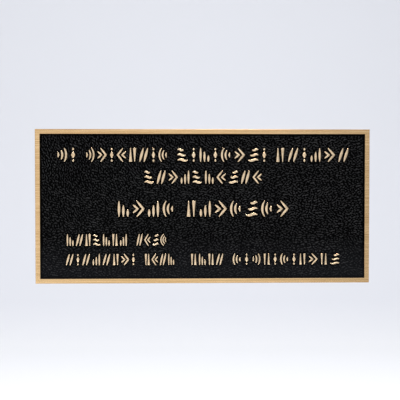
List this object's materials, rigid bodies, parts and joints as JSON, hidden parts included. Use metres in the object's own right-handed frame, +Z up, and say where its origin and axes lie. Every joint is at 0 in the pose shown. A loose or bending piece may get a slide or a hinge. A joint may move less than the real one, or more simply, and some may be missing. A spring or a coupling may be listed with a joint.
{
  "type": "bronze time capsule plaque",
  "caption": "Rectangular cast bronze wall plaque with a raised border, a black pebbled field and rows of raised strokes, held by hidden studs.",
  "frame": {"origin": "middle of the flat back, on the wall's surface", "axes": "+Y into the wall, -Y is the side of the border and strokes, +X to the viewer's right, +Z up"},
  "size_m": [0.38, 0.01, 0.175],
  "materials": {
    "bronze": "satin linished cast bronze on the border and strokes, satin black paint in the recessed field"
  },
  "bodies": {
    "root": {"bronze_plaque": "bronze"}
  },
  "joints": []
}
